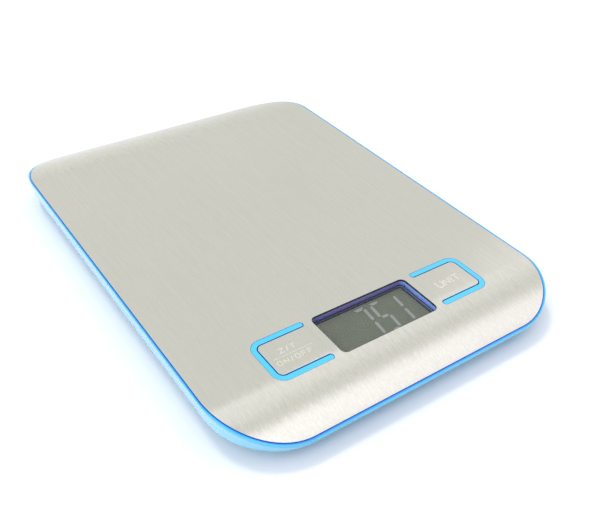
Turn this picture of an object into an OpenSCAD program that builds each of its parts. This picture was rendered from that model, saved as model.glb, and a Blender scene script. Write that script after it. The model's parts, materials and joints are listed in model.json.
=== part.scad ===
// Digital gram scale. A steel platform with bent ends covers a slim plastic body.
// The origin is on the table under the middle of the body, X to the right seen from
// the user's side, Y away from the user and Z up.

/* [Body] */
// Overall width, rim to rim
body_w = 180; // [176:1:190]
// Overall length, front rim to back rim
body_l = 240; // [236:1:250]
// Height of the flat platform above the table
body_h = 17; // [17:0.1:18]
// Width of the plastic rim that shows around the plate
rim_w = 1.2; // [1:0.1:1.6]
// How far the skirt reaches below the flat platform
skirt_depth = 9; // [8.9:0.1:9.4]
// Slant of the skirt, inward for each millimetre down
skirt_draft = 0.185; // [0.1:0.005:0.22]

/* [Platform] */
// Corner radius of the steel plate
plate_r = 31.4; // [30:0.2:33]
// Thickness of the steel plate
plate_t = 0.5; // [0.4:0.1:0.6]
// Length of each bent end
bend_len = 29.2; // [27:0.2:31]
// Radius of the bend
bend_r = 66; // [62:1:90]

/* [Display] */
// Width of the window
window_w = 53.1; // [50:0.1:54]
// Height of the window
window_h = 24; // [22:0.1:25]
// Distance of the window's middle from the middle of the plate
window_y = 83.9; // [83:0.1:85]
// Corner radius of the window
window_r = 2.7; // [2:0.1:4]

/* [Keys] */
// Distance of the keys' middle line from the middle of the plate
key_y = 83.6; // [83:0.1:84.5]
// Distance of a key's root line from the middle
key_root = 30.5; // [30:0.1:31]
// Length of a key's tongue from its root to its tip
key_l = 25; // [24:0.1:26]
// Width of a key's tongue
key_w = 18.3; // [17:0.1:19]
// Corner radius of a key's tongue
key_r = 2.5; // [2:0.1:3]
// Width of the slot around a key
slot_w = 3.05; // [2.8:0.05:3.2]
// Clearance between the key and the rib that stands in the slot
rib_in = 0.5; // [0.4:0.05:0.6]
// Clearance between the rib and the slot's outer edge
rib_out = 0.15; // [0.1:0.05:0.25]
// Distance from a key's root to the switch below it
switch_arm = 13.5; // [13:0.1:14]

/* [Feet] */
// Distance of the feet from the middle, across
foot_x = 64; // [63:0.5:65]
// Distance of the feet from the middle, along
foot_y = 96; // [95:0.5:97]
// Radius of a foot
foot_r = 10; // [9:0.1:10]

/* [Battery bay] */
// Distance of the bay's middle behind the middle of the body
bay_y = 20; // [10:1:30]
// Width of the battery door
door_w = 55; // [54:0.5:56]
// Depth of the battery door
door_l = 26.4; // [26:0.1:27]

/* [Hidden] */
$fn = 96;
eps = 0.02;

// Colours
steel = [0.78, 0.78, 0.75];
blue = [0.33, 0.80, 0.96];
pale = [0.93, 0.94, 0.95];
dark = [0.25, 0.26, 0.27];
green = [0.10, 0.42, 0.22];
copper = [0.80, 0.50, 0.25];

// Platform plate and bend
plate_w = body_w - 2 * rim_w;
plate_l = body_l - 2 * rim_w;
bend_y = plate_l / 2 - bend_len;
bend_z = body_h - bend_r;
plate_gap = 0.35;
rim_low = 0.2;
glue_t = 0.2;
glue_inset = 1.5;

// Skirt: an outline that shrinks downward, with its corner arcs about fixed centres
skirt_r = 33;
corner_x = body_w / 2 - skirt_r;
end_drop = bend_r - sqrt(bend_r * bend_r - pow(bend_len + rim_w, 2)) + rim_low;
corner_y = body_l / 2 + skirt_draft * end_drop - skirt_r;
skirt_z = body_h - skirt_depth;
wall_t = 1.8;
deck_t = 1.1;
deck_top = plate_t + glue_t;
deck_low = deck_top + deck_t;

// Lower housing: a shallow tub whose rounded edge starts at a slant
tub_step = 0.6;
tub_r = skirt_r - skirt_draft * skirt_depth - tub_step;
tub_band = 1.4;
tub_z = 2.3;
tub_t = 1.6;
tub_slant = 42;
tub_arc = (skirt_z - tub_band - tub_z) / (1 - sin(tub_slant));
floor_z = tub_z + tub_t;

// Display stack
lens_z = 13.95;
lens_t = 0.8;
lens_gap = 0.3;
ledge_w = 0.85;
gasket_t = 0.15;
well_z = 13.3;
well_t = 1.2;
lcd_w = 57;
lcd_l = 27;
lcd_t = 2;
lcd_z = well_z - 0.05 - lcd_t;

// Circuit board
board_w = 99;
board_l = 31;
board_t = 1.2;
board_z = 6.8;
board_y = -84;
board_top = board_z + board_t;
board_screw_x = 46;
board_screw_ys = [-96, -71.4];

// Key arms and switches
arm_z = body_h - deck_low;
nib_z = 12.35;
nib_r = 1.6;
switch_s = 6;
switch_h = 3.5;
button_r = 1.7;
button_z = 10;
button_h = 2.3;

// Load cells and feet
cell_w = 24;
cell_l = 22;
cell_t = 2;
cell_z = 6.5;
clamp_t = 1.2;
lug_y = 14;
lug_r = 3.2;
foot_hole = 0.4;
pad_r = 8.5;
pad_t = 1.1;
foot_z = 0.8;
foot_t = 2.2;
foot_play = 0.3;

// Battery bay
bay_w = 51;
bay_l = 22.4;
bay_wall = 1.2;
bay_top = 14.3;
bay_roof = 0.7;
ledge_z = 4.9;
door_t = 1.2;
door_gap = 0.25;
cell_aaa_r = 5.25;
cell_aaa_l = 44.5;
cell_aaa_z = 9;
cell_aaa_y = 5.5;
hook_x = 17;
hook_w = 6;
latch_w = 12;
nib_reach = 0.1;

// Screws
screw_spots = [[-70, -48], [70, -48], [-70, 48], [70, 48], [0, -104.5], [0, 104]];
screw_seat = 5.5;
screw_r = 1.3;
screw_head_r = 2.6;
screw_head_h = 1.8;
screw_l = 6.5;
boss_z = 9.05;
board_screw_r = 0.9;
cell_screw_r = 1.1;
pin_r = 1.5;
contact_t = 0.4;

// ---- Shared shapes ----

// Flat rectangle with round corners
module round_rect(w, l, r) {
    square([w - 2 * r, l], center = true);
    square([w, l - 2 * r], center = true);
    for (x = [-1, 1], y = [-1, 1])
        translate([x * (w / 2 - r), y * (l / 2 - r)]) circle(r);
}

// Plate with round corners, from z to z + h
module slab(w, l, r, z, h) {
    translate([0, 0, z]) linear_extrude(h) round_rect(w, l, r);
}

// Everything that lies at least d below the platform's top surface, bends included
module under_bend(d) {
    reach = body_w + 20;
    translate([-reach / 2, -bend_y, -1]) cube([reach, 2 * bend_y, body_h - d + 1]);
    for (s = [-1, 1])
        intersection() {
            translate([-reach / 2, s * bend_y, bend_z]) rotate([0, 90, 0])
                cylinder(r = bend_r - d, h = reach, $fn = 180);
            translate([-reach / 2, s > 0 ? bend_y : -bend_y - 40, -1])
                cube([reach, 40, body_h + 1]);
        }
}

// A sheet that follows the platform, between two depths below its top
module bent_sheet(d0, d1, w, l, r) {
    difference() {
        intersection() {
            slab(w, l, r, 1, body_h);
            under_bend(d0);
        }
        under_bend(d1);
    }
}

// Solid with the body's outline: pts lists [distance from the corner centres, height]
module body_solid(pts) {
    n = len(pts) - 1;
    for (x = [-1, 1], y = [-1, 1])
        translate([x * corner_x, y * corner_y, 0])
            rotate_extrude() polygon(concat([[0, pts[0][1]]], pts, [[0, pts[n][1]]]));
    rotate([90, 0, 0]) linear_extrude(2 * corner_y, center = true) body_section(pts, corner_x);
    rotate([90, 0, 90]) linear_extrude(2 * corner_x, center = true) body_section(pts, corner_y);
}

// Cross-section of body_solid between two corner arcs
module body_section(pts, c) {
    n = len(pts) - 1;
    polygon(concat(
        [for (p = pts) [c + p[0], p[1]]],
        [for (i = [n:-1:0]) [-c - pts[i][0], pts[i][1]]]
    ));
}

// Edge of the tub, t inside its outer face, from height z down to its flat bottom
function tub_edge(t, z) = concat(
    [[tub_r - t * cos(tub_slant), z]],
    [for (a = [tub_slant:8:90])
        [tub_r - t * cos(tub_slant) - (tub_arc - t) * (cos(tub_slant) - cos(a)),
         tub_z + t + (tub_arc - t) * (1 - sin(a))]]
);

// Puts a shape at one foot's place; the shape's +X points outward
module at_foot(sx, sy) {
    translate([sx * foot_x, sy * foot_y, 0]) mirror([sx < 0 ? 1 : 0, 0, 0]) children();
}

// Puts a shape at all four feet
module at_feet() {
    for (sx = [-1, 1], sy = [-1, 1])
        at_foot(sx, sy) children();
}

// Key outline seen from above, g larger all round, on the right-hand side
module key_outline(g) {
    half = key_w / 2 + g;
    tip = key_root + key_l + g;
    r = key_r + g;
    translate([0, -half]) square([tip - r, 2 * half]);
    translate([tip - r - 1, r - half]) square([r + 1, 2 * (half - r)]);
    for (s = [-1, 1])
        translate([tip - r, s * (half - r)]) circle(r);
}

// The part of a flat shape outward of x
module outward_of(x) {
    intersection() {
        children();
        translate([x, -20]) square([60, 40]);
    }
}

// U-shaped slot around a key, narrower by gap_in and gap_out, with round ends
module key_slot(gap_in, gap_out) {
    end_x = key_root + slot_w / 2;
    outward_of(end_x) difference() {
        key_outline(slot_w - gap_out);
        key_outline(gap_in);
    }
    for (s = [-1, 1])
        translate([end_x, s * (key_w + slot_w + gap_in - gap_out) / 2])
            circle((slot_w - gap_in - gap_out) / 2, $fn = 48);
}

// Puts a right-hand key's shape at the right (1) or the left (-1) of the window
module at_key(side) {
    mirror([side < 0 ? 1 : 0, 0, 0]) translate([0, -key_y, 0]) children();
}

// Vertical cylinder with a hole
module tube(r_out, r_in, z, h) {
    translate([0, 0, z]) difference() {
        cylinder(r = r_out, h = h);
        translate([0, 0, -1]) cylinder(r = r_in, h = h + 2);
    }
}

// Screw standing on its head: head from z to z + head_h, shank above it
module screw(z, head_r, head_h, shank_r, shank_l) {
    slot = head_r * 1.3;
    difference() {
        translate([0, 0, z]) cylinder(r = head_r, h = head_h);
        for (a = [0, 90])
            rotate([0, 0, a]) translate([-slot / 2, -0.3, z - 0.1]) cube([slot, 0.6, head_h * 0.6]);
    }
    translate([0, 0, z + head_h]) cylinder(r = shank_r, h = shank_l);
}

// Unit vector
function unit(v) = v / norm(v);

// Direction of a route at its point i
function along(p, i) =
    i == 0 ? unit(p[1] - p[0]) :
    i == len(p) - 1 ? unit(p[i] - p[i - 1]) :
    unit(unit(p[i + 1] - p[i]) + unit(p[i] - p[i - 1]));

// Points of a round section at route point i; ref is never parallel to the route
function ring(p, i, r, n, ref) =
    let (t = along(p, i), u = unit(cross(t, ref)), v = cross(t, u))
    [for (k = [0:n - 1]) p[i] + r * (cos(360 * k / n) * u + sin(360 * k / n) * v)];

// Round wire along a route of points
module wire(p, r, n, ref) {
    m = len(p);
    pts = [for (i = [0:m - 1]) each ring(p, i, r, n, ref)];
    sides = [for (i = [0:m - 2], k = [0:n - 1])
        [i * n + k, i * n + (k + 1) % n, (i + 1) * n + (k + 1) % n, (i + 1) * n + k]];
    caps = [[for (k = [n - 1:-1:0]) k], [for (k = [0:n - 1]) (m - 1) * n + k]];
    polyhedron(points = pts, faces = concat(sides, caps), convexity = 8);
}

// ---- Platform ----

// Brushed steel plate with the window and the two key slots
module platform_plate() {
    color(steel) difference() {
        bent_sheet(0, plate_t, plate_w, plate_l, plate_r);
        translate([0, -window_y, 0]) slab(window_w, window_h, window_r, 10, 10);
        for (side = [-1, 1])
            at_key(side) translate([0, 0, 10]) linear_extrude(10) {
                key_slot(0, 0);
                outward_of(key_root - eps) key_outline(0);
            }
    }
}

// Steel tongue that the user presses
module key(side) {
    color(steel) intersection() {
        bent_sheet(0, plate_t, plate_w, plate_l, plate_r);
        at_key(side) translate([0, 0, 10]) linear_extrude(10) outward_of(key_root) key_outline(0);
    }
}

// Plastic arm glued under a key, with the nib that presses the switch
module key_arm(side) {
    margin = 0.3;
    color(blue) {
        intersection() {
            under_bend(plate_t);
            at_key(side) translate([0, 0, arm_z]) linear_extrude(deck_t + glue_t)
                outward_of(key_root + margin) key_outline(-margin);
        }
        at_key(side) translate([key_root + switch_arm, 0, nib_z])
            cylinder(r = nib_r, h = arm_z - nib_z, $fn = 48);
    }
}

// Thin glue sheet between the plate and the housing
module plate_adhesive() {
    w = plate_w - 2 * glue_inset;
    l = plate_l - 2 * glue_inset;
    color(pale) difference() {
        bent_sheet(plate_t, deck_top, w, l, plate_r - glue_inset);
        translate([0, -window_y, 0]) slab(window_w + 2, window_h + 2, window_r + 1, 10, 10);
        for (side = [-1, 1])
            at_key(side) translate([0, 0, 10]) linear_extrude(10)
                outward_of(key_root - 1) key_outline(slot_w + 0.5);
    }
}

// ---- Housing ----

// Upper housing: rim, skirt, deck under the plate, display well, slot ribs and bosses
module upper_housing() {
    top = skirt_r + skirt_draft;
    low = skirt_r - skirt_draft * skirt_depth;
    color(blue) {
        difference() {
            intersection() {
                body_solid([[top, body_h + 1], [low, skirt_z]]);
                under_bend(rim_low);
            }
            difference() {
                slab(plate_w + 2 * plate_gap, plate_l + 2 * plate_gap, plate_r + plate_gap, 1, body_h);
                under_bend(deck_top);
            }
            intersection() {
                body_solid([[top - wall_t, body_h + 1], [low - wall_t - skirt_draft, skirt_z - 1]]);
                under_bend(deck_low);
            }
            translate([0, -window_y, 0]) slab(window_w, window_h, window_r, 10, 10);
            for (side = [-1, 1])
                at_key(side) translate([0, 0, 10]) linear_extrude(10)
                    outward_of(key_root) key_outline(rib_in);
        }
        display_well();
        slot_ribs();
        intersection() {
            under_bend(deck_low - 0.3);
            union() {
                for (p = screw_spots)
                    translate([p[0], p[1], 0]) tube(3.5, screw_r + eps, boss_z, body_h - boss_z);
                for (x = [-board_screw_x, board_screw_x], y = board_screw_ys)
                    translate([x, y, 0]) tube(2.4, board_screw_r + eps, board_top, body_h - board_top);
            }
        }
    }
}

// Walls from the window down to the display, with the ledge that the lens rests on
module display_well() {
    rise = body_h - deck_top - 0.6 - well_z;
    translate([0, -window_y, 0]) difference() {
        slab(window_w + 2 * well_t, window_h + 2 * well_t, window_r + well_t, well_z, rise);
        slab(window_w, window_h, window_r, lens_z - gasket_t, 5);
        ledge_opening(well_z - 1, 5);
    }
}

// Opening inside the ledge under the lens
module ledge_opening(z, h) {
    slab(window_w - 2 * ledge_w, window_h - 2 * ledge_w, window_r - ledge_w, z, h);
}

// Raised ribs that stand in the plate's slots around the keys
module slot_ribs() {
    intersection() {
        under_bend(0.06);
        for (side = [-1, 1])
            at_key(side) translate([0, 0, body_h - deck_low]) linear_extrude(5)
                key_slot(rib_in, rib_out);
    }
}

// Lower housing: floor with the rounded edge, foot wells, pods, bay and screw bosses
module lower_housing() {
    outer = tub_edge(0, skirt_z);
    inner = tub_edge(tub_t, skirt_z + 1);
    color(blue) difference() {
        union() {
            difference() {
                body_solid(outer);
                body_solid(inner);
            }
            intersection() {
                body_solid(outer);
                at_feet() cell_pod();
            }
            for (p = screw_spots)
                translate([p[0], p[1], floor_z - 1]) cylinder(r = 4.2, h = boss_z - 0.05 - floor_z + 1);
            bay_shell();
        }
        at_feet() translate([0, 0, tub_z - 1]) cylinder(r = foot_r + foot_hole, h = cell_z);
        for (p = screw_spots)
            translate([p[0], p[1], 0]) {
                translate([0, 0, tub_z - 1]) cylinder(r = 3.2, h = screw_seat - tub_z + 1);
                translate([0, 0, tub_z]) cylinder(r = 1.6, h = 10, $fn = 48);
            }
        translate([0, bay_y, 0]) bay_cuts();
        at_feet() for (y = [-lug_y, lug_y])
            translate([0, y, cell_z - 2]) cylinder(r = cell_screw_r + eps, h = 3, $fn = 48);
    }
}

// Seat under a load cell, with the two screw lugs of its clamp
module cell_pod() {
    slab(cell_w + 2, cell_l + 2, 3, floor_z - 0.5, cell_z - floor_z + 0.5);
    for (y = [-lug_y, lug_y])
        translate([0, y, floor_z - 0.5]) cylinder(r = lug_r, h = cell_z - floor_z + 0.5);
}

// Walls and roof around the two cells, and the thick ledge around the door
module bay_shell() {
    w = bay_w + 2 * bay_wall;
    l = bay_l + 2 * bay_wall;
    translate([0, bay_y, 0]) {
        slab(door_w + 6, door_l + 6, 3, floor_z - 0.5, ledge_z - floor_z + 0.5);
        slab(w, l, 1.5, floor_z - 0.5, bay_top + bay_roof - floor_z + 0.5);
    }
}

// Bay hollow, door recess, hook slots and latch slot, about the bay's middle
module bay_cuts() {
    recess = door_t + 0.05;
    hook_cut = hook_w + 0.8;
    hook_y = bay_l / 2 - 0.5;
    hook_top = floor_z + 2;
    translate([-bay_w / 2, -bay_l / 2, tub_z - 1]) cube([bay_w, bay_l, bay_top - tub_z + 1]);
    slab(door_w + 2 * door_gap, door_l + 2 * door_gap, 1.5, tub_z - 1, recess + 1);
    for (x = [-hook_x, hook_x])
        translate([x - hook_cut / 2, hook_y, 0]) {
            translate([0, 0, tub_z]) cube([hook_cut, door_l / 2 + door_gap - hook_y, hook_top - tub_z]);
            translate([0, 0, floor_z]) cube([hook_cut, 4.4, hook_top - floor_z]);
        }
    translate([-latch_w / 2 - 0.4, -door_l / 2 - door_gap, tub_z]) cube([latch_w + 0.8, 3, 4]);
}

// ---- Display ----

// Clear window that sits in the plate's opening
module display_lens() {
    color([0.75, 0.78, 0.82, 0.4]) translate([0, -window_y, 0]) in_window(lens_z, lens_t);
}

// Plate that fits in the window with a gap all round
module in_window(z, h) {
    slab(window_w - 2 * lens_gap, window_h - 2 * lens_gap, window_r - lens_gap, z, h);
}

// Foam strip between the window and its ledge
module lens_gasket() {
    color(dark) translate([0, -window_y, 0]) difference() {
        in_window(lens_z - gasket_t, gasket_t);
        ledge_opening(lens_z - 1, 2);
    }
}

// Liquid crystal glass: the lower sheet leaves a contact strip free at the front edge
module lcd_panel() {
    strip = 3.6;
    color([0.45, 0.47, 0.44]) translate([-lcd_w / 2, -window_y - lcd_l / 2, lcd_z]) {
        translate([0, strip, 0]) cube([lcd_w, lcd_l - strip, lcd_t / 2]);
        translate([0, 0, lcd_t / 2]) cube([lcd_w, lcd_l, lcd_t / 2]);
    }
}

// Frame that carries the glass above the board
module lcd_holder() {
    w = lcd_w + 2.4;
    l = lcd_l + 2.4;
    lip = 1.2;
    color(pale) translate([0, -window_y, 0]) difference() {
        slab(w, l, 1.5, board_top, lcd_z + lip - board_top);
        slab(window_w - 0.4, window_h, 1, board_top - 1, 10);
        translate([-lcd_w / 2 - 0.1, -lcd_l / 2 - 0.1, lcd_z]) cube([lcd_w + 0.2, lcd_l + 0.2, 5]);
    }
}

// Striped rubber that joins the glass to the board
module lcd_connector() {
    color(dark) translate([-25, -window_y - window_h / 2 + 0.2, board_top])
        cube([50, 1.8, lcd_z + lcd_t / 2 - board_top]);
}

// ---- Electronics ----

// Circuit board with its four screw holes
module circuit_board() {
    color(green) difference() {
        translate([0, board_y, 0]) slab(board_w, board_l, 1.5, board_z, board_t);
        for (x = [-board_screw_x, board_screw_x], y = board_screw_ys)
            translate([x, y, board_z - 1]) cylinder(r = 1.1, h = 4, $fn = 48);
    }
}

// Resin drop over the controller, under the board
module controller_chip() {
    r = 12;
    rise = 1.3;
    color(dark) intersection() {
        translate([-12, board_y, board_z + r - rise]) sphere(r);
        translate([-24, board_y - 12, board_z - rise]) cube([24, 24, rise]);
    }
}

// Small parts under the board: crystal, capacitors and resistors
module board_components() {
    color(copper) {
        translate([4, board_y, board_z - 1.6]) cube([7, 3, 1.6]);
        for (i = [0:4])
            translate([14 + 4 * i, board_y - 6, board_z - 0.7]) cube([2, 1.25, 0.7]);
        for (i = [0:3])
            translate([-36 + 4 * i, board_y + 7, board_z - 0.7]) cube([2, 1.25, 0.7]);
        for (i = [0:1])
            translate([20 + 7 * i, board_y + 6, board_z - 1.8]) cylinder(r = 2, h = 1.8, $fn = 48);
    }
}

// Body of a push switch
module key_switch(side) {
    color(dark) at_key(side) translate([key_root + switch_arm, 0, board_top]) difference() {
        translate([-switch_s / 2, -switch_s / 2, 0]) cube([switch_s, switch_s, switch_h]);
        translate([0, 0, button_z - board_top - 0.4]) cylinder(r = button_r + 0.05, h = 5, $fn = 48);
    }
}

// Plunger of a push switch
module key_switch_button(side) {
    color(pale) at_key(side) translate([key_root + switch_arm, 0, button_z])
        cylinder(r = button_r, h = button_h, $fn = 48);
}

// ---- Load cells and feet ----

// Steel load cell: a frame with a middle tongue that bends when the foot pushes it up
module load_cell() {
    beam = 8;
    slot = 1.2;
    color([0.72, 0.73, 0.74]) difference() {
        slab(cell_w, cell_l, 2, cell_z, cell_t);
        translate([0, 0, cell_z - 1]) cylinder(r = pin_r + 0.05, h = 5, $fn = 48);
        translate([0, 0, cell_z - 1]) linear_extrude(5) difference() {
            translate([-6, -beam / 2 - slot]) square([14 + slot, beam + 2 * slot]);
            translate([-7, -beam / 2]) square([15, beam]);
        }
    }
}

// Strain gauges on the root of each tongue, under a drop of sealant
module strain_gauges() {
    color(copper) at_feet() {
        translate([-6.5, -2, cell_z + cell_t]) cube([4, 4, 0.2]);
        translate([-4.5, 0, cell_z + cell_t + 0.2]) cylinder(r = 1.6, h = 0.4, $fn = 48);
    }
}

// Plastic frames that hold the load cells on their seats
module cell_clamps() {
    z = cell_z + cell_t;
    color(pale) at_feet() {
        difference() {
            slab(cell_w + 2, cell_l + 2, 3, z, clamp_t);
            slab(cell_w - 4, cell_l - 4, 1.5, z - 1, 5);
        }
        for (s = [-1, 1])
            difference() {
                union() {
                    translate([0, s * lug_y, cell_z]) cylinder(r = lug_r - 0.4, h = cell_t + clamp_t);
                    translate([-2.4, s * (lug_y - 1.5) - 1.5, z]) cube([4.8, 3, clamp_t]);
                }
                translate([0, s * lug_y, cell_z - 1]) cylinder(r = 1.2, h = 8, $fn = 48);
            }
    }
}

// Foot: a disc in the housing's well, a stem up to the load cell and a pin with a snap head
module foot(sx, sy) {
    head_z = cell_z + cell_t + foot_play + 0.05;
    color(pale) at_foot(sx, sy) difference() {
        union() {
            rotate_extrude() polygon([
                [0, foot_z], [foot_r - 0.8, foot_z], [foot_r - 0.23, foot_z + 0.23],
                [foot_r, foot_z + 0.8], [foot_r, foot_z + foot_t], [0, foot_z + foot_t]
            ]);
            translate([0, 0, foot_z + foot_t - 0.5])
                cylinder(r = 3.2, h = cell_z - foot_z - foot_t + 0.5);
            translate([0, 0, cell_z - 0.5]) cylinder(r = pin_r, h = head_z - cell_z + 0.8, $fn = 48);
            translate([0, 0, head_z]) cylinder(r = pin_r + 0.6, h = 0.6, $fn = 48);
        }
        translate([0, 0, foot_z - 1]) cylinder(r = pad_r + 0.05, h = 1.3);
    }
}

// Rubber pad glued in the foot's recess
module foot_pad(sx, sy) {
    color(dark) at_foot(sx, sy) rotate_extrude() polygon([
        [0, 0], [pad_r - 0.3, 0], [pad_r, 0.3], [pad_r, pad_t], [0, pad_t]
    ]);
}

// ---- Battery bay ----

// Door with two hooks on its back edge and a notch for the latch
module battery_door() {
    hook_z = floor_z + 0.05;
    color(blue) translate([0, bay_y, 0]) {
        difference() {
            slab(door_w, door_l, 1.3, tub_z, door_t);
            translate([-latch_w / 2 - 0.3, -door_l / 2 - 1, tub_z - 1]) cube([latch_w + 0.6, 5.4, 4]);
            for (i = [-2:2])
                translate([-9, -door_l / 2 + 8 + 1.6 * i, tub_z - 1]) cube([18, 0.6, 1.3]);
        }
        for (x = [-hook_x, hook_x]) {
            translate([x - hook_w / 2, bay_l / 2 - 0.2, tub_z + door_t - 0.3])
                cube([hook_w, 1.9, hook_z - tub_z - door_t + 1.1]);
            translate([x - hook_w / 2, door_l / 2 - 1, hook_z]) cube([hook_w, 2.6, 0.8]);
        }
    }
}

// Latch: finger plate, spring leaf and a nib short enough to clear the ledge as the door swings
module battery_door_latch() {
    leaf_y = -door_l / 2;
    color(blue) translate([-latch_w / 2, bay_y, 0]) {
        translate([0, leaf_y, tub_z]) cube([latch_w, 3.2, door_t]);
        translate([0, leaf_y + 0.2, tub_z + door_t - 0.2]) cube([latch_w, 0.8, 2.5]);
        translate([1, leaf_y + 0.2 - nib_reach, ledge_z + 0.05]) cube([latch_w - 2, nib_reach + 0.2, 0.75]);
        for (i = [0:1])
            translate([1, leaf_y + 0.9 + 1.1 * i, tub_z - 0.35]) cube([latch_w - 2, 0.5, 0.5]);
    }
}

// One round cell along X; dir is the side of its raised end
module battery(dir) {
    nub = 0.8;
    r = cell_aaa_r - 0.05;
    plus_x = bay_w / 2 - contact_t;
    color([0.30, 0.32, 0.34])
        translate([0, bay_y - dir * cell_aaa_y, cell_aaa_z]) mirror([dir < 0 ? 1 : 0, 0, 0])
            rotate([0, 90, 0]) {
                translate([0, 0, plus_x - nub]) cylinder(r = 1.9, h = nub, $fn = 48);
                translate([0, 0, plus_x - cell_aaa_l]) cylinder(r = r, h = cell_aaa_l - nub);
            }
}

// Coil springs that push the cells against their plates
module battery_springs() {
    turns = 4;
    steps = 14;
    wire_r = 0.25;
    x0 = bay_w / 2 - contact_t - wire_r - eps;
    x1 = cell_aaa_l - bay_w / 2 + contact_t + wire_r + eps;
    color([0.80, 0.80, 0.82]) for (dir = [-1, 1])
        translate([0, bay_y - dir * cell_aaa_y, cell_aaa_z]) mirror([dir < 0 ? 1 : 0, 0, 0])
            wire([for (i = [0:turns * steps])
                let (f = i / (turns * steps), a = 360 * i / steps, r = 3.6 - 1.6 * f)
                [-x0 + f * (x0 - x1), r * cos(a), r * sin(a)]
            ], wire_r, 6, [1, 0, 0]);
}

// Contact plates at both ends of the bay
module battery_contacts() {
    color([0.80, 0.80, 0.82]) for (s = [-1, 1])
        translate([s * (bay_w / 2 - contact_t / 2), bay_y, cell_aaa_z])
            cube([contact_t, 19.5, 8.5], center = true);
}

// ---- Wiring ----

// Lead bundles from the strain gauges to the board
module cell_leads() {
    lead_r = 0.55;
    ref = [0.31, 0.22, 0.92];
    z = board_top + lead_r + 0.05;
    color([0.75, 0.15, 0.12]) for (s = [-1, 1]) {
        wire([
            [s * 56.6, -93.4, 10.6], [s * 54, -92.6, 11], [s * 51.4, -91.4, 10.6],
            [s * 49.6, -90.2, 9.6], [s * 48.6, -89, z], [s * 46, -88, z]
        ], lead_r, 8, ref);
        wire([
            [s * 56.6, 93.4, 10.6], [s * 53, 92.6, 11], [s * 50, 91.4, 9.6], [s * 48, 89, 6.4],
            [s * 47, 85, 4.9], [s * 46, 78, 4.6], [s * 46, 40, 4.6], [s * 46, 0, 4.6],
            [s * 44, -40, 4.6], [s * 40, -60, 4.8], [s * 38, -65, 6], [s * 37.6, -67.2, 8],
            [s * 37.5, -69, z], [s * 37.5, -72, z]
        ], lead_r, 8, ref);
    }
}

// Lead pair from the bay's contacts to the board
module battery_leads() {
    lead_r = 0.55;
    ref = [0.31, 0.22, 0.92];
    z = board_top + lead_r + 0.05;
    x = bay_w / 2 + bay_wall + lead_r;
    color([0.12, 0.12, 0.13]) for (dy = [-5, 5])
        wire([
            [x + 0.1, bay_y + dy, 9], [x + 0.8, bay_y + dy - 2, 7.4], [x + 3.4, bay_y + dy - 5, 5.6],
            [x + 5.5 + dy / 6, bay_y + dy - 12, 4.6], [x + 5.5 + dy / 6, -40, 4.6],
            [x + 5 + dy / 6, -60, 4.8], [x + 5 + dy / 6, -65, 6], [x + 5 + dy / 6, -67.2, 8],
            [x + 5 + dy / 6, -69, z], [x + 5 + dy / 6, -71, z]
        ], lead_r, 8, ref);
}

// ---- Fasteners ----

// Screws that join the two housings from below
module housing_screws() {
    color(steel) for (p = screw_spots)
        translate([p[0], p[1], 0])
            screw(screw_seat - screw_head_h, screw_head_r, screw_head_h, screw_r, screw_l);
}

// Screws that hold the board to the deck, from below
module board_screws() {
    head_h = 1.1;
    color(steel) for (x = [-board_screw_x, board_screw_x], y = board_screw_ys)
        translate([x, y, 0]) screw(board_z - head_h, 1.9, head_h, board_screw_r, 5.5);
}

// Screws that hold the clamps over the load cells, from above
module cell_screws() {
    head_h = 1.1;
    top = cell_z + cell_t + clamp_t + head_h;
    color(steel) at_feet() for (y = [-lug_y, lug_y])
        translate([0, y, top]) mirror([0, 0, 1]) screw(0, 2, head_h, cell_screw_r, 4.6);
}

// ---- Drawing ----

platform_plate();
plate_adhesive();
key(-1);  // tare_key
key(1);  // unit_key
key_arm(-1);  // tare_key_arm
key_arm(1);  // unit_key_arm
upper_housing();
lower_housing();
display_lens();
lens_gasket();
lcd_holder();
lcd_panel();
lcd_connector();
circuit_board();
controller_chip();
board_components();
key_switch(-1);  // tare_switch
key_switch(1);  // unit_switch
key_switch_button(-1);  // tare_switch_button
key_switch_button(1);  // unit_switch_button
at_foot(-1, -1) load_cell();  // load_cell_front_left
at_foot(1, -1) load_cell();  // load_cell_front_right
at_foot(-1, 1) load_cell();  // load_cell_back_left
at_foot(1, 1) load_cell();  // load_cell_back_right
strain_gauges();
cell_clamps();
foot(-1, -1);  // foot_front_left
foot(1, -1);  // foot_front_right
foot(-1, 1);  // foot_back_left
foot(1, 1);  // foot_back_right
foot_pad(-1, -1);  // foot_pad_front_left
foot_pad(1, -1);  // foot_pad_front_right
foot_pad(-1, 1);  // foot_pad_back_left
foot_pad(1, 1);  // foot_pad_back_right
battery_door();
battery_door_latch();
battery(1);  // battery_1
battery(-1);  // battery_2
battery_springs();
battery_contacts();
cell_leads();
battery_leads();
housing_screws();
board_screws();
cell_screws();
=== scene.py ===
"""Looks of the digital gram scale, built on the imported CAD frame."""
import json
import math

import bmesh
import bpy
from mathutils import Matrix, Vector


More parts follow.
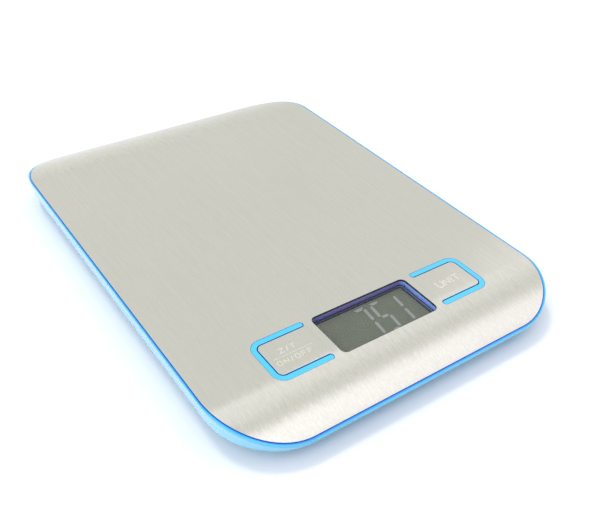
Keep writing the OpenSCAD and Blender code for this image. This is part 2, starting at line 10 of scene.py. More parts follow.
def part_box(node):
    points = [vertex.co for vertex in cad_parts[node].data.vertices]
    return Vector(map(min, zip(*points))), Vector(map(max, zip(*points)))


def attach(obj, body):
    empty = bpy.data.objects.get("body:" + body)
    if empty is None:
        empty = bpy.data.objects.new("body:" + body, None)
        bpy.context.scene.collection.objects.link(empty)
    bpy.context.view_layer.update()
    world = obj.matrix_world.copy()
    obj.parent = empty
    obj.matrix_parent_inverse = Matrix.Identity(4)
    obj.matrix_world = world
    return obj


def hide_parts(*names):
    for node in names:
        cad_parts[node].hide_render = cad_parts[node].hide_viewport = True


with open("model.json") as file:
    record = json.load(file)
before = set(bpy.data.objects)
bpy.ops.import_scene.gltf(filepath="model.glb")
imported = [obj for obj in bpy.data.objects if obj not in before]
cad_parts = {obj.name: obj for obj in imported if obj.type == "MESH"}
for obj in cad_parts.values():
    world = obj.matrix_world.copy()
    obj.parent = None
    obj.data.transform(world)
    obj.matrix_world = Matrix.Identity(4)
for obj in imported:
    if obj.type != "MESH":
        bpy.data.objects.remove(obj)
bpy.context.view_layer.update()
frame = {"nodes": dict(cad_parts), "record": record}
NODES = frame["nodes"]
BODY_OF = {n: b for b, ns in frame["record"]["behaviour"]["bodies"].items() for n in ns}
SLOT_OF = {s["node"]: s["material_slot"] for s in frame["record"]["subparts"]}
BODY = "scale_body"
MM = 0.001

# ---------------------------------------------------------------- sizes from the frame

plate_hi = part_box("platform_plate")[1]
TOP = plate_hi.z
lens_lo, lens_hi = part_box("display_lens")
WINDOW_Y = (lens_lo.y + lens_hi.y) / 2
WINDOW_HALF_X = (lens_hi.x - lens_lo.x) / 2
WINDOW_HALF_Y = (lens_hi.y - lens_lo.y) / 2

# The platform's outline: length and radius of its bent ends, corner radius, gap to the blue rim
BEND_LEN, BEND_R = 29.2 * MM, 66 * MM
PLATE_R, PLATE_GAP = 31.4 * MM, 0.35 * MM
BEND_Y = plate_hi.y - BEND_LEN
KEY_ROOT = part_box("unit_key")[0].x


def plate_top(y):
    """Height of the platform's top surface at y."""
    over = max(0.0, abs(y) - BEND_Y)
    return TOP - BEND_R + math.sqrt(BEND_R ** 2 - over ** 2)


# ---------------------------------------------------------------- node materials

# How far the brush lines tilt the reflection, and how far they darken or lighten the bends, where the
# full tone is painted highlight streaks over the brush grain
STREAK_TILT, STREAK_TONE = 0.014, 0.045


class Look:
    """A node material: a Principled shader and short calls that add nodes to it."""

    def __init__(self, name, colour, rough, metallic=0.0, **sockets):
        self.mat = bpy.data.materials.new(name)
        self.mat.use_nodes = True
        self.tree = self.mat.node_tree
        self.shader = self.tree.nodes["Principled BSDF"]
        self.put("Base Color", (*colour, 1.0))
        self.put("Roughness", rough)
        self.put("Metallic", metallic)
        for key, value in sockets.items():
            self.put(key.replace("_", " "), value)

    def put(self, socket, value):
        """Sets a shader socket to a number, a colour or another node's output."""
        if isinstance(value, bpy.types.NodeSocket):
            self.tree.links.new(value, self.shader.inputs[socket])
        else:
            self.shader.inputs[socket].default_value = value
        return self

    def add(self, kind, out=0, inputs=None, **props):
        node = self.tree.nodes.new("ShaderNode" + kind)
        for key, value in props.items():
            setattr(node, key, value)
        for key, value in (inputs or {}).items():
            if isinstance(value, bpy.types.NodeSocket):
                self.tree.links.new(value, node.inputs[key])
            else:
                node.inputs[key].default_value = value
        return node.outputs[out]

    def place(self, scale=(1, 1, 1)):
        """Position in the object, in metres, stretched by scale."""
        at = self.add("TexCoord", "Object")
        return self.add("Mapping", inputs={"Vector": at, "Scale": scale})

    def noise(self, scale, stretch=(1, 1, 1), detail=3.0, rough=0.55, distortion=0.0):
        return self.add("TexNoise", "Fac", {
            "Vector": self.place(stretch), "Scale": scale, "Detail": detail,
            "Roughness": rough, "Distortion": distortion})

    def math(self, op, a, b=0.0, c=0.0):
        return self.add("Math", 0, {0: a, 1: b, 2: c}, operation=op)

    def span(self, value, a, b, low, high, smooth=False):
        """Maps a..b to low..high, clamped."""
        kind = "SMOOTHSTEP" if smooth else "LINEAR"
        return self.add("MapRange", 0, {
            "Value": value, "From Min": a, "From Max": b, "To Min": low, "To Max": high},
            interpolation_type=kind, clamp=True)

    def mix(self, fac, one, two, blend="MIX"):
        node = self.tree.nodes.new("ShaderNodeMix")
        node.data_type, node.blend_type = "RGBA", blend
        for key, value in ((0, fac), (6, one), (7, two)):
            if isinstance(value, bpy.types.NodeSocket):
                self.tree.links.new(value, node.inputs[key])
            else:
                node.inputs[key].default_value = value if key == 0 else (*value, 1.0)[:4]
        return node.outputs[2]

    def bump(self, height, distance, strength=1.0, normal=None):
        inputs = {"Height": height, "Distance": distance, "Strength": strength}
        if normal is not None:
            inputs["Normal"] = normal
        return self.add("Bump", 0, inputs)

    def vary(self, colour, amount, scale, **noise):
        """Base colour that drifts by amount each way."""
        f = self.span(self.noise(scale, **noise), 0.3, 0.7, 0.0, 1.0)
        dark = tuple(c * (1 - amount) for c in colour)
        light = tuple(min(1.0, c * (1 + amount)) for c in colour)
        return self.put("Base Color", self.mix(f, dark, light))

    def wear(self, low, high, scale, **noise):
        """Roughness that drifts between low and high."""
        return self.put("Roughness", self.span(self.noise(scale, **noise), 0.3, 0.7, low, high))

    def grain(self, scale, distance, **noise):
        return self.put("Normal", self.bump(self.noise(scale, **noise), distance))


def brushed_steel():
    """Stainless sheet brushed along Y, so that reflections spread across the lines."""
    k = Look("brushed_steel", (0.60, 0.60, 0.54), 0.25, 1.0, Anisotropic=1.0)
    k.put("Tangent", k.add("CombineXYZ", inputs={"X": 1.0, "Y": 0.0, "Z": 0.0}))
    fine = k.noise(1.0, (2600, 60, 2600), 2.0, 0.6)
    coarse = k.noise(1.0, (1150, 22, 1150), 2.0, 0.6)
    cloud = k.noise(20.0, (1, 0.6, 1), 2.0)
    lines = k.math("ADD", k.math("MULTIPLY", fine, 0.5), k.math("MULTIPLY", coarse, 0.5))
    shade = k.math("ADD", k.math("MULTIPLY", lines, 0.75), k.math("MULTIPLY", cloud, 0.25))
    tone = k.span(shade, 0.36, 0.64, 0.0, 1.0)
    sheet = k.mix(tone, (0.590, 0.591, 0.522), (0.628, 0.629, 0.562))
    face = k.add("NewGeometry", "Normal")
    up = k.add("SeparateXYZ", "Z", {"Vector": face})
    cut = k.span(k.math("ABSOLUTE", up), 0.35, 0.8, 1.0, 0.0)
    x, y, _ = k.add("SeparateXYZ", inputs={"Vector": k.place()}).node.outputs
    from_window = k.math("ABSOLUTE", k.math("SUBTRACT", y, WINDOW_Y))
    side = k.math("SUBTRACT", k.math("ABSOLUTE", x), WINDOW_HALF_X + 1 * MM)
    along = k.math("SUBTRACT", from_window, WINDOW_HALF_Y + MM)
    by_window = k.math("LESS_THAN", k.math("MAXIMUM", side, along), 0.0)
    # Painted light on the cut edges: deep blue away from the window as painted reflection of the blue
    # rim, near black by the window as painted shade; the edges are made non-metallic so that this colour
    # shows.
    edge = k.mix(by_window, (0.0, 0.20, 0.72), (0.05, 0.05, 0.065))
    # Brush grain tone: weak on the flat, and at full strength on the bends as painted highlight streaks.
    streak = k.noise(1.0, (1150, 160, 1150), 2.0, 0.6)
    on_bend = k.span(k.math("ABSOLUTE", y), BEND_Y - MM, BEND_Y + 3 * MM, 0.3, 1.0)
    swing = k.math("MULTIPLY", k.span(streak, 0.3, 0.7, -STREAK_TONE, STREAK_TONE), on_bend)
    sheet = k.mix(1.0, sheet, k.add("CombineXYZ", inputs={
        i: k.math("ADD", swing, 1.0) for i in "XYZ"}), "MULTIPLY")
    k.put("Base Color", k.mix(cut, sheet, edge))
    k.put("Metallic", k.math("SUBTRACT", 1.0, cut))
    k.put("Roughness", k.span(lines, 0.3, 0.7, 0.21, 0.28))
    tilt = k.span(coarse, 0.3, 0.7, -STREAK_TILT, STREAK_TILT)
    normal = k.add("VectorMath", "Vector", {
        0: face, 1: k.add("CombineXYZ", inputs={"Y": tilt})}, operation="ADD")
    return k.put("Normal", k.bump(lines, 6e-6, normal=normal)).mat


MARK_TONE = (0.77, 0.74, 0.65)


def etched_mark():
    """Laser mark on the steel: a little paler, warmer and rougher than the sheet around it."""
    k = Look("etched_mark", MARK_TONE, 0.4, 1.0)
    k.vary(MARK_TONE, 0.05, 900)
    return k.grain(4000, 4e-6).mat


# The third colour is painted shade: deep blue for the gap round the plate and for the rib sides.
CYAN, PALE, GROOVE_SHADE = (0.032, 0.465, 0.745), (0.22, 0.57, 0.76), (0.0, 0.22, 0.70)


def blue_plastic():
    """Glossy light blue moulding, with painted shade in the grooves and the display well, painted light
    on the well's walls that face left, and a paler blue down the skirt that is partly painted reflection
    of the floor.
    """
    k = Look("blue_plastic", CYAN, 0.2, IOR=1.5, Coat_Weight=0.7, Coat_Roughness=0.06)
    x, y, z = k.add("SeparateXYZ", inputs={"Vector": k.place()}).node.outputs
    face = k.add("NewGeometry", "Normal")
    nx, _, nz = k.add("SeparateXYZ", inputs={"Vector": face}).node.outputs

    def times(*values):
        out = values[0]
        for value in values[1:]:
            out = k.math("MULTIPLY", out, value)
        return out

    over = k.math("MAXIMUM", k.math("SUBTRACT", k.math("ABSOLUTE", y), BEND_Y), 0.0)
    root = k.math("SQRT", k.math("SUBTRACT", BEND_R ** 2, times(over, over)))
    depth = k.math("SUBTRACT", k.math("ADD", root, TOP - BEND_R), z)
    corner = [k.math("MAXIMUM", k.math("SUBTRACT", k.math("ABSOLUTE", v), half - PLATE_R), 0.0)
              for v, half in ((x, plate_hi.x), (y, plate_hi.y))]
    edge = k.math("SUBTRACT", k.math("SQRT", k.math(
        "ADD", times(corner[0], corner[0]), times(corner[1], corner[1]))), PLATE_R)
    # Mask for painted shade: the gap round the plate, and steep or sunk faces under the plate's outline
    # such as the rib sides.
    inside = k.span(edge, PLATE_GAP + 0.3 * MM, PLATE_GAP + 0.5 * MM, 1.0, 0.0)
    lip = k.span(edge, 0.0, 0.1 * MM, 0.0, 1.0)
    shallow = k.span(depth, 2.1 * MM, 2.2 * MM, 1.0, 0.0)
    steep = k.span(nz, 0.7, 0.99, 1.0, 0.0)
    sunk = k.span(depth, 0.4 * MM, 0.6 * MM, 0.0, 1.0)
    groove = times(inside, shallow, k.math("MAXIMUM", lip, k.math("MAXIMUM", steep, sunk)))
    # Paler blue down the skirt and on the lower housing: partly the moulding's lighter tone, partly
    # painted reflection of the white floor.
    pale = k.span(depth, 0.9 * MM, 2.0 * MM, 0.0, 1.0)

    # Painted shade in the display well: walls a darker purple-blue and near black at their top, while
    # walls that face left get a lighter blue as painted light.
    from_window = k.math("ABSOLUTE", k.math("SUBTRACT", y, WINDOW_Y))
    well = times(
        k.math("LESS_THAN", k.math("ABSOLUTE", x), WINDOW_HALF_X + 1.2 * MM),
        k.math("LESS_THAN", from_window, WINDOW_HALF_Y + 1.2 * MM),
        k.math("GREATER_THAN", z, lens_lo.z - 2 * MM))
    lit_wall = k.span(nx, -0.9, -0.3, 1.0, 0.0)
    under_deck = k.span(depth, 1.1 * MM, 1.3 * MM, 0.0, 1.0)
    well_shade_and_light = k.mix(lit_wall, (0.28, 0.26, 0.60), (0.22, 0.40, 0.90))

    flow = k.span(k.noise(60), 0.3, 0.7, 0.0, 1.0)
    colour = k.mix(flow, tuple(c * 0.97 for c in CYAN), tuple(min(1, c * 1.03) for c in CYAN))
    colour = k.mix(pale, colour, PALE)
    colour = k.mix(groove, colour, GROOVE_SHADE)
    k.put("Base Color", k.mix(well, colour, k.mix(under_deck, (0.06, 0.06, 0.075), well_shade_and_light)))
    k.wear(0.15, 0.25, 140)
    return k.grain(900, 3e-6, detail=4.0).mat


def satin(name, colour, rough, amount=0.05, scale=120, grain=1500, depth=6e-6, **sockets):
    """Moulded or painted surface with a slight drift in colour and gloss and a fine grain."""
    k = Look(name, colour, rough, **sockets)
    k.vary(colour, amount, scale)
    k.wear(rough * 0.88, min(1.0, rough * 1.12), scale * 2)
    return k.grain(grain, depth).mat


def lens_glass():
    """Thin clear acrylic window, see-through by alpha."""
    k = Look("lens_glass", (0.05, 0.055, 0.06), 0.05, Alpha=0.14)
    return k.wear(0.03, 0.08, 300).mat


FLOOR_TONE = (0.785, 0.797, 0.814)


def floor_look():
    k = Look("floor", FLOOR_TONE, 0.75, Specular_IOR_Level=0.2)
    return k.vary(FLOOR_TONE, 0.008, 9).mat


STEEL = brushed_steel()
BLUE = blue_plastic()
MARK = etched_mark()
LOOKS = {
    "steel_plate": STEEL,
    "blue_plastic": BLUE,
    "adhesive": satin("glue_sheet", (0.80, 0.81, 0.78), 0.6),
    "lens": lens_glass(),
    "foam": satin("black_foam", (0.045, 0.045, 0.05), 0.9, 0.3, 2500, 6000, 3e-5),
    "white_plastic": satin("white_plastic", (0.80, 0.81, 0.82), 0.42, 0.02),
    "connector_rubber": satin("connector_rubber", (0.05, 0.05, 0.055), 0.7, 0.4, 3000),
    "board": satin("solder_mask", (0.02, 0.16, 0.06), 0.3, 0.15, 350),
    "resin": satin("chip_resin", (0.012, 0.012, 0.013), 0.12),
    "components": satin("board_parts", (0.30, 0.22, 0.14), 0.45, 0.3, 400),
    "switch_body": satin("switch_plastic", (0.02, 0.02, 0.022), 0.5),
    "cell_steel": satin("cell_steel", (0.50, 0.50, 0.51), 0.33, 0.06, 400, Metallic=1.0),
    "gauge_foil": satin("gauge_foil", (0.60, 0.38, 0.16), 0.35, 0.1, 2000),
    "pad_rubber": satin("pad_rubber", (0.16, 0.165, 0.17), 0.8, 0.08, 600, 2500, 2e-5),
    "battery_jacket": satin("battery_jacket", (0.05, 0.055, 0.06), 0.3, 0.05, 200),
    "spring_wire": satin("spring_wire", (0.72, 0.72, 0.74), 0.2, 0.03, 900, Metallic=1.0),
    "lead_red": satin("lead_red", (0.45, 0.03, 0.02), 0.45, 0.1, 500),
    "lead_black": satin("lead_black", (0.02, 0.02, 0.02), 0.45, 0.1, 500),
    "screw_steel": satin("screw_zinc", (0.62, 0.62, 0.65), 0.28, 0.05, 1500, Metallic=1.0),
    "lcd_glass": satin("display_glass", (0.16, 0.18, 0.165), 0.25, 0.02, 300),
}
for name, node in NODES.items():
    node.data.materials.clear()
    node.data.materials.append(LOOKS[SLOT_OF[name]])

# ---------------------------------------------------------------- mesh helpers


def finish_piece(bm, name, mat, body, angle=35):
    """Turns bm into an object that rides on body."""
    bmesh.ops.recalc_face_normals(bm, faces=bm.faces)
    mesh = bpy.data.meshes.new(name)
    bm.to_mesh(mesh)
    bm.free()
    mesh.materials.append(mat)
    mesh.shade_smooth()
    mesh.set_sharp_from_angle(angle=math.radians(angle))
    obj = bpy.data.objects.new(name, mesh)
    bpy.context.scene.collection.objects.link(obj)
    obj.modifiers.new("normals", "WEIGHTED_NORMAL").keep_sharp = True
    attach(obj, body)
    return obj


def on_key_root(edge):
    """True for the edges where a key's tongue grows out of the plate."""
    keys_back, sheet = -70 * MM, 2 * MM
    return all(abs(abs(v.co.x) - KEY_ROOT) < 0.05 * MM and v.co.y < keys_back and v.co.z > TOP - sheet
               for v in edge.verts)


def rounded(node, width, segments=2, angle=38, mat=None):
    """Replaces a CAD node by a copy whose sharp edges are rounded."""
    bm = bmesh.new()
    bm.from_mesh(NODES[node].data)
    bmesh.ops.remove_doubles(bm, verts=bm.verts, dist=2e-6)
    bmesh.ops.dissolve_limit(
        bm, angle_limit=math.radians(0.3), verts=bm.verts, edges=bm.edges,
        use_dissolve_boundaries=False)
    sharp = [e for e in bm.edges if e.is_manifold and e.calc_face_angle(0) > math.radians(angle)
             and not on_key_root(e)]
    bmesh.ops.bevel(
        bm, geom=sharp, offset=width, offset_type="OFFSET", segments=segments,
        profile=0.5, affect="EDGES", clamp_overlap=True, material=-1)
    slot = SLOT_OF[node]
    piece = finish_piece(bm, node + "_shell", mat or LOOKS[slot], BODY_OF[node])
    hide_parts(node)
    return piece


def prism(bm, outline, low, high):
    """Closed prism on a flat outline of (x, y); low and high are heights or functions of y."""
    z0 = low if callable(low) else lambda y: low
    z1 = high if callable(high) else lambda y: high
    bottom = [bm.verts.new((x, y, z0(y))) for x, y in outline]
    top = [bm.verts.new((x, y, z1(y))) for x, y in outline]
    bm.faces.new(bottom[::-1])
    bm.faces.new(top)
    for i in range(len(outline)):
        j = (i + 1) % len(outline)
        bm.faces.new((bottom[i], bottom[j], top[j], top[i]))


def stroke(bm, points, width, low, high, closed=False):
    """Closed solid that follows a line of (x, y) points with mitred corners."""
    pts = [Vector(p) for p in points]
    n = len(pts)
    left, right = [], []
    for i, p in enumerate(pts):
        before = pts[i - 1] if closed or i else None
        after = pts[(i + 1) % n] if closed or i < n - 1 else None
        a = (p - before).normalized() if before is not None else (after - p).normalized()
        b = (after - p).normalized() if after is not None else a
        t = (a + b).normalized()
        side = Vector((-t.y, t.x)) * (width / 2 / max(0.4, t.dot(a)))
        left.append(p + side)
        right.append(p - side)
    rings = []
    for l, r in zip(left, right):
        corners = ((l, low), (r, low), (r, high), (l, high))
        rings.append([bm.verts.new((q.x, q.y, f(q.y))) for q, f in corners])
    last = n if closed else n - 1
    for i in range(last):
        one, two = rings[i], rings[(i + 1) % n]
        for k in range(4):
            bm.faces.new((one[k], one[(k + 1) % 4], two[(k + 1) % 4], two[k]))
    if not closed:
        bm.faces.new(rings[0])
        bm.faces.new(rings[-1][::-1])


def lathe(bm, profile, at, axis="Z", segments=64):
    """Closed solid of revolution about an axis through at.

    profile lists (radius, distance along the axis) and starts and ends on the axis.
    """
    rings = []
    for radius, t in profile:
        turns = segments if radius else 1
        ring = []
        for i in range(turns):
            a = 2 * math.pi * i / segments
            u, v = radius * math.cos(a), radius * math.sin(a)
            ring.append(bm.verts.new(at + Vector((u, v, t) if axis == "Z" else (t, u, v))))
        rings.append(ring)
    for one, two in zip(rings, rings[1:]):
        for i in range(segments):
            j = (i + 1) % segments
            corners = [one[i % len(one)], one[j % len(one)], two[j % len(two)], two[i % len(two)]]
            bm.faces.new(list(dict.fromkeys(corners)))


# ---------------------------------------------------------------- rounded CAD shells

EDGES = {
    "upper_housing": 0.38, "lower_housing": 0.25, "platform_plate": 0.07,
    "tare_key": 0.07, "unit_key": 0.07, "battery_door": 0.2, "battery_door_latch": 0.12,
    "display_lens": 0.06, "housing_screws": 0.12, "cell_clamps": 0.1, "lcd_holder": 0.1,
    "tare_switch": 0.15, "unit_switch": 0.15, "battery_contacts": 0.06,
}
for node, width in EDGES.items():
    rounded(node, width * MM)

for corner in ("front_left", "front_right", "back_left", "back_right"):
    rounded("load_cell_" + corner, 0.1 * MM)
    rounded("foot_" + corner, 0.12 * MM)

# ---------------------------------------------------------------- rubber pads with ring grooves


def foot_pad(node):
    lo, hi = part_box(node)
    radius, high = (hi.x - lo.x) / 2, hi.z - lo.z
    groove, pitch, deep, edge = 0.7 * MM, 1.9 * MM, 0.4 * MM, 0.3 * MM
    profile = [(0, high), (radius, high), (radius, edge), (radius - edge, 0)]
    r = radius - 1.2 * MM
    while r > 2 * groove:
        profile += [(r, 0), (r - 0.1 * MM, deep), (r - groove + 0.1 * MM, deep), (r - groove, 0)]
        r -= pitch
    profile.append((0, 0))
    bm = bmesh.new()
    lathe(bm, profile, Vector(((lo.x + hi.x) / 2, (lo.y + hi.y) / 2, lo.z)))
    piece = finish_piece(bm, node + "_grooved", LOOKS["pad_rubber"], BODY_OF[node])
    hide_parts(node)


for node in NODES:
    if node.startswith("foot_pad_"):
        foot_pad(node)

# ---------------------------------------------------------------- round cells


def jacket_look(way, split):
    """Printed sleeve of a cell: dark, with a copper-coloured band at the raised end."""
    k = Look("cell_sleeve", (0.04, 0.045, 0.05), 0.3, 0.3)
    x = k.add("SeparateXYZ", "X", {"Vector": k.place()})
    band = k.math("GREATER_THAN", k.math("MULTIPLY", x, way), split)
    drift = k.span(k.noise(260), 0.3, 0.7, 0.9, 1.0)
    print_tone = k.mix(band, (0.045, 0.05, 0.055), (0.62, 0.33, 0.13))
    k.put("Base Color", k.mix(drift, (0.0, 0.0, 0.0), print_tone))
    k.put("Metallic", k.span(band, 0, 1, 0.2, 0.8))
    k.wear(0.25, 0.36, 400)
    return k.grain(1500, 4e-6).mat


def round_cell(node, way):
    """AAA cell along X whose raised end points to way."""
    lo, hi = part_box(node)
    r, length = (hi.z - lo.z) / 2, hi.x - lo.x
    start = Vector((lo.x if way > 0 else hi.x, (lo.y + hi.y) / 2, (lo.z + hi.z) / 2))
    body = length - 0.8 * MM

    def turned(name, profile, mat):
        bm = bmesh.new()
        lathe(bm, [(a * MM, way * b) for a, b in profile], start, "X")
        return finish_piece(bm, name, mat, BODY_OF[node])

    rr = r / MM
    sleeve = turned(node + "_sleeve", [
        (0, 0.15 * MM), (rr - 0.7, 0.15 * MM), (rr - 0.6, 0), (rr - 0.2, 0), (rr, 0.25 * MM),
        (rr, body - 0.5 * MM), (rr - 0.2, body - 0.2 * MM), (rr - 0.6, body - 0.2 * MM),
        (rr - 0.7, body - 0.4 * MM), (0, body - 0.4 * MM)], jacket_look(way, 12 * MM))
    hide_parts(node)
    turned(node + "_base", [(0, 0.02 * MM), (rr - 1, 0.02 * MM), (rr - 0.8, 0.2 * MM), (0, 0.2 * MM)],
           LOOKS["spring_wire"])
    turned(node + "_cap", [
        (0, body - 0.5 * MM), (rr - 0.8, body - 0.5 * MM), (rr - 0.9, body - 0.1 * MM), (2.3, body),
        (1.9, body + 0.05 * MM), (1.9, length - 0.2 * MM), (1.7, length), (0, length)],
        LOOKS["spring_wire"])


round_cell("battery_1", 1)
round_cell("battery_2", -1)

# ---------------------------------------------------------------- display

lcd_lo, lcd_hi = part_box("lcd_panel")
# Digit width, height and stroke between the bars' middle lines, lean, middle height on the film
SEG_W, SEG_H, SEG_T, SLANT = 4.8 * MM, 17.6 * MM, 1.5 * MM, 0.11
DIGIT_Y = -84.6 * MM
SEGMENTS = {"7": "abc", "5": "acdfg", "1": "bc"}


FILM_TONE, DIGIT_TONE = (0.170, 0.197, 0.145), (0.37, 0.40, 0.37)


def display_film():
    """Satin polarizer film on the display glass."""
    k = Look("display_film", FILM_TONE, 0.38, Specular_IOR_Level=0.3)
    k.vary(FILM_TONE, 0.05, 160)
    return k.grain(3500, 3e-6).mat


def rect(x0, y0, x1, y1):
    return [(x0, y0), (x1, y0), (x1, y1), (x0, y1)]


bm = bmesh.new()
half = (lcd_lo.z + lcd_hi.z) / 2
for y0, z0, z1 in ((lcd_lo.y, half, lcd_hi.z), (lcd_lo.y + 3.6 * MM, lcd_lo.z, half - 0.01 * MM)):
    prism(bm, rect(lcd_lo.x, y0, lcd_hi.x, lcd_hi.y), z0, z1)
bmesh.ops.bevel(bm, geom=bm.edges, offset=0.08 * MM, segments=1, affect="EDGES", material=-1)
edge_look = satin("display_edge", (0.06, 0.06, 0.066), 0.3)
glass = finish_piece(bm, "display_glass", edge_look, BODY)
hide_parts("lcd_panel")

FILM = rect(-24.4 * MM, WINDOW_Y - 10.9 * MM, 24.4 * MM, WINDOW_Y + 10.2 * MM)
FILM_TOP = lcd_hi.z + 0.12 * MM


def layer(name, outline, low, high, mat):
    """Thin sheet with worn edges on top of the display glass."""
    bm = bmesh.new()
    prism(bm, outline, low, high)
    bmesh.ops.bevel(bm, geom=bm.edges, offset=(high - low) / 3, segments=1, affect="EDGES", material=-1)
    return finish_piece(bm, name, mat, BODY)


def grown(outline, by):
    (x0, y0), (x1, y1) = outline[0], outline[2]
    return rect(x0 - by, y0 - by, x1 + by, y1 + by)


layer("display_mask", grown(FILM, 0.3 * MM), lcd_hi.z + 0.002 * MM, lcd_hi.z + 0.06 * MM,
      satin("display_mask", (0.006, 0.006, 0.008), 0.4))
layer("display_film", FILM, lcd_hi.z + 0.05 * MM, FILM_TOP, display_film())


def slanted(x, y):
    return x + SLANT * (y - DIGIT_Y), y


def segment_outlines(right_x, letters):
    """Outlines of the lit segments of a digit whose right bars stand at right_x at mid height."""
    gap, tip, t = 0.5 * MM, 0.55 * MM, SEG_T / 2
    rx, lx = right_x, right_x - SEG_W
    up, mid, low = DIGIT_Y + SEG_H / 2, DIGIT_Y, DIGIT_Y - SEG_H / 2
    out = []

    def across(y, side):
        x0, x1 = lx + gap, rx - gap
        if side == 0:
            return [(x0, y), (x0 + t, y + t), (x1 - t, y + t),
                    (x1, y), (x1 - t, y - t), (x0 + t, y - t)]
        outer, inner = y + side * t, y - side * t
        return [(x0 - t, outer), (x1 + t, outer), (x1 - t, inner), (x0 + t, inner)][::side]

    def upright(x, side, y0, y1):
        inner, outer = x - side * t, x + side * t
        return [(x, y0 + tip), (outer, y0 + tip + t), (outer, y1 - tip - t), (x, y1 - tip),
                (inner, y1 - tip - t), (inner, y0 + tip + t)]

    shapes = {
        "a": across(up, 1), "g": across(mid, 0), "d": across(low, -1),
        "b": upright(rx, 1, mid, up), "c": upright(rx, 1, low, mid),
        "f": upright(lx, -1, mid, up),
    }
    for letter in letters:
        out.append([slanted(*p) for p in shapes[letter]])
    return out


bm = bmesh.new()
for right_x, digit in ((-0.28, "7"), (8.32, "5"), (16.92, "1")):
    for outline in segment_outlines(right_x * MM, SEGMENTS[digit]):
        prism(bm, outline, FILM_TOP - 0.01 * MM, FILM_TOP + 0.02 * MM)
lit = Look("display_segment", DIGIT_TONE, 0.4, Specular_IOR_Level=0.3)
lit.vary(DIGIT_TONE, 0.06, 500)
finish_piece(bm, "display_digits", lit.mat, BODY)

# ---------------------------------------------------------------- marks on the keys

LETTERS = {
    "U": [[(0, 1), (0, 0.25), (0.25, 0), (0.75, 0), (1, 0.25), (1, 1)]],
    "N": [[(0, 0), (0, 1)], [(0.06, 0.98), (0.94, 0.02)], [(1, 0), (1, 1)]],
    "I": [[(0.5, 0), (0.5, 1)]],
    "T": [[(0, 1), (1, 1)], [(0.5, 0.94), (0.5, 0)]],
    "Z": [[(0, 1), (1, 1), (0, 0), (1, 0)]],
    "/": [[(0, -0.1), (1, 1.1)]],
    "O": [[(0.25, 0), (0.75, 0), (1, 0.25), (1, 0.75), (0.75, 1), (0.25, 1), (0, 0.75), (0, 0.25)]],
    "F": [[(0, 0), (0, 1), (1, 1)], [(0.06, 0.52), (0.8, 0.52)]],
}
MARK_DEPTH = 0.012 * MM


def mark_low(y):
    return plate_top(y) - MARK_DEPTH


def mark_high(y):
    return plate_top(y) + MARK_DEPTH


def label(bm, word, x, y, height, width, gap, line):
    """Writes a key's function in plain strokes from x to the right, centred on y."""
    for letter in word:
        w = {"I": 0.3, "/": 0.6}.get(letter, 1.0) * width
        for points in LETTERS[letter]:
            at = [(x + px * w, y + (py - 0.5) * height) for px, py in points]
            stroke(bm, at, line, mark_low, mark_high, closed=letter == "O")
        x += w + gap


def key_marks(name, body, rows, bars=()):
    """Marks of one key; rows are words and bars are lines (x0, x1, y, width), in millimetres."""
    bm = bmesh.new()
    for word, x, y, height, width, gap, line in rows:
        label(bm, word, x * MM, y * MM, height * MM, width * MM, gap * MM, line * MM)
    for x0, x1, y, line in bars:
        stroke(bm, [(x0 * MM, y * MM), (x1 * MM, y * MM)], line * MM, mark_low, mark_high)
    return finish_piece(bm, name, MARK, body)


# word, left end, middle line, letter height and width, gap between letters, line width
key_marks("zero_key_marks", "tare_key_tongue",
          [("Z/T", -48.6, -81.3, 2.4, 2.2, 1.1, 0.36), ("ON/OFF", -53, -87.0, 2.3, 2.0, 1.15, 0.36)],
          [(-53, -34.2, -84.2, 0.26)])
key_marks("unit_key_marks", "unit_key_tongue", [("UNIT", 36.6, -84.2, 4.0, 3.2, 1.0, 0.6)])

# ---------------------------------------------------------------- floor, light and camera

# Just under the pads, so that the two don't share a plane
FLOOR_Z, FLOOR_HALF = -0.02 * MM, 4
floor_mesh = bpy.data.meshes.new("floor")
floor_corners = rect(-FLOOR_HALF, -FLOOR_HALF, FLOOR_HALF, FLOOR_HALF)
floor_mesh.from_pydata([(x, y, FLOOR_Z) for x, y in floor_corners], [], [(0, 1, 2, 3)])
floor_mesh.materials.append(floor_look())
floor = bpy.data.objects.new("floor", floor_mesh)
bpy.context.scene.collection.objects.link(floor)


# Brightness of the tent by the Y part of the direction, from the camera's side to the far side
TENT = [(-1.0, 0.72), (-0.45, 0.68), (-0.34, 1.6), (-0.12, 1.78), (-0.05, 1.6), (0.0, 1.2), (0.04, 1.03),
        (0.12, 1.0), (0.2, 1.14), (0.3, 1.27), (0.43, 1.32), (0.47, 1.01), (0.85, 1.01), (0.97, 1.1)]


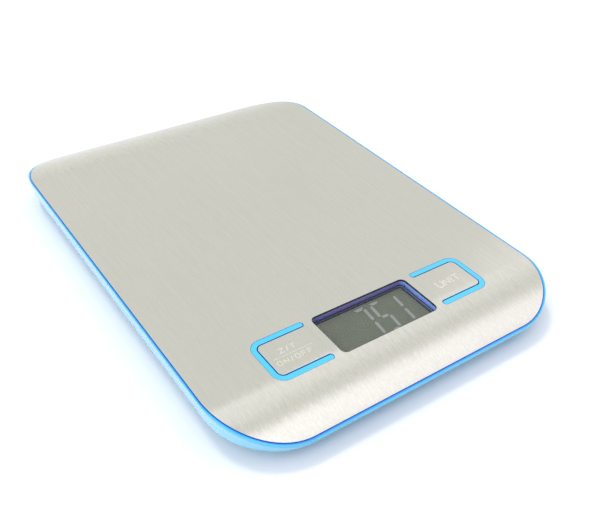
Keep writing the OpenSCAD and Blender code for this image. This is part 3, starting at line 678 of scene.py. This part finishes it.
def studio():
    """White tent whose brightness depends only on the direction."""
    world = bpy.data.worlds.new("studio")
    world.use_nodes = True
    tree = world.node_tree
    new, link = tree.nodes.new, tree.links.new
    background = tree.nodes["Background"]
    at = new("ShaderNodeTexCoord").outputs["Generated"]
    xyz = new("ShaderNodeSeparateXYZ")
    link(at, xyz.inputs[0])

    def calc(op, a, b):
        node = new("ShaderNodeMath")
        node.operation = op
        for i, value in enumerate((a, b)):
            if isinstance(value, bpy.types.NodeSocket):
                link(value, node.inputs[i])
            else:
                node.inputs[i].default_value = value
        return node.outputs[0]

    def span(value, a, b, low, high, kind="SMOOTHSTEP"):
        node = new("ShaderNodeMapRange")
        node.interpolation_type = kind
        link(value, node.inputs["Value"])
        for key, v in (("From Min", a), ("From Max", b), ("To Min", low), ("To Max", high)):
            node.inputs[key].default_value = v
        return node.outputs[0]

    ramp = new("ShaderNodeValToRGB")
    elements = ramp.color_ramp.elements
    for i, (y, level) in enumerate(TENT):
        e = elements[i] if i < 2 else elements.new((y + 1) / 2)
        e.position = (y + 1) / 2
        e.color = (level / 2, level / 2, level / 2, 1)
    link(span(xyz.outputs["Y"], -1, 1, 0, 1, "LINEAR"), ramp.inputs[0])
    fade = span(xyz.outputs["X"], 0.35, 0.8, 1.0, 0.6)
    left = span(xyz.outputs["X"], -0.9, -0.2, 1.65, 1.0)
    over = calc("SUBTRACT", calc("MULTIPLY", ramp.outputs[0], 2.0), 1.0)
    level = calc("ADD", calc("MULTIPLY", over, fade), 1.0)
    link(calc("MULTIPLY", level, left), background.inputs["Strength"])
    tint = new("ShaderNodeMix")
    tint.data_type = "RGBA"
    link(span(level, 1.05, 1.5, 0.0, 1.0, "LINEAR"), tint.inputs[0])
    tint.inputs[6].default_value = (1.0, 1.0, 1.0, 1)
    tint.inputs[7].default_value = (1.01, 0.98, 1.05, 1)
    cool = new("ShaderNodeMix")
    cool.data_type = "RGBA"
    link(span(level, 0.7, 0.95, 1.0, 0.0, "LINEAR"), cool.inputs[0])
    link(tint.outputs[2], cool.inputs[6])
    cool.inputs[7].default_value = (0.82, 0.95, 1.12, 1)
    link(cool.outputs[2], background.inputs["Color"])
    bpy.context.scene.world = world


studio()

# A soft sun for the shadow in front; the steel doesn't mirror it
key_data = bpy.data.lights.new("key_light", "SUN")
key_data.energy = 0.85
key_data.color = (1.0, 0.94, 0.86)
key_data.angle = math.radians(11)
key_light = bpy.data.objects.new("key_light", key_data)
key_light.rotation_euler = Vector((-0.12, 0.42, 0.9)).to_track_quat("Z", "Y").to_euler()
key_light.visible_glossy = False
bpy.context.scene.collection.objects.link(key_light)

# The photo's viewpoint: where the picture's right and up point in the frame
RIGHT = Vector((0.83695, -0.54633, 0.03214))
UP = Vector((0.32065, 0.53712, 0.78018))
camera = bpy.data.objects.new("camera", bpy.data.cameras.new("camera"))
bpy.context.scene.collection.objects.link(camera)
camera.matrix_world = Matrix.Translation((-0.178165, -0.248398, 0.229841)) @ Matrix(
    (RIGHT, UP, RIGHT.cross(UP))).transposed().to_4x4()
camera.data.lens = 44.22
camera.data.sensor_width = 36
camera.data.shift_x = 0.0775
camera.data.shift_y = 0.0029
camera.data.clip_start, camera.data.clip_end = 0.01, 20
bpy.context.scene.camera = camera
bpy.context.scene.view_settings.view_transform = "Standard"
